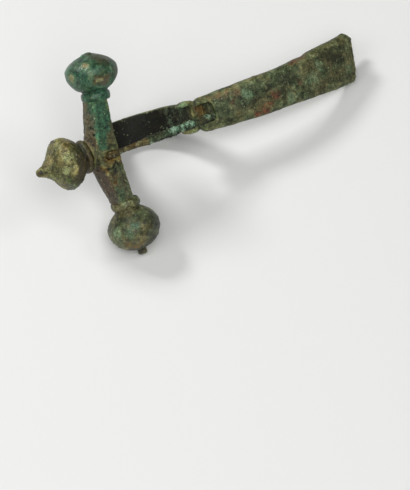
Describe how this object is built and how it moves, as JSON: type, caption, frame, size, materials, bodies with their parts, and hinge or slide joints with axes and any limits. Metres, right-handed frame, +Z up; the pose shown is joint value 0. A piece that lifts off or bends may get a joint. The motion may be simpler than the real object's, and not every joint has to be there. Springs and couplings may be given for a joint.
{
  "type": "crossbow fibula brooch",
  "caption": "Ancient crossbow brooch: arched bow, crossbar with onion knobs, long foot with a pin sheath and a hinged pin, lying on its front with the pin side up.",
  "frame": {"origin": "on the floor, under the middle of the brooch's bounding box as it lies", "axes": "+X from the head knob towards the foot's far end, +Y towards the side knob that is held in the air, +Z up"},
  "size_m": [0.1074, 0.0476, 0.0428],
  "materials": {
    "bronze_dark_green": "dull dark green patina with olive, brown and red mottling, on cast copper alloy",
    "bronze_teal": "smooth teal patina with ochre patches",
    "bronze_olive": "worn olive patina with grey-brown and teal patches",
    "bronze_golden_olive": "crusty golden olive patina with fine pits",
    "pin_pale_green": "matt pale green crust over brown metal"
  },
  "bodies": {
    "brooch": {"body": "bronze_dark_green", "knob_side_a": "bronze_teal", "knob_side_b": "bronze_olive", "knob_head": "bronze_golden_olive"},
    "pin": {"pin": "pin_pale_green"}
  },
  "joints": [
    {"name": "pin_hinge", "type": "hinge", "parent": "brooch", "child": "pin", "pos_m": [-0.03203, -0.00157, 0.02333], "axis": [-0.1361, -0.7649, -0.6296], "range_deg": [0, 85]}
  ]
}
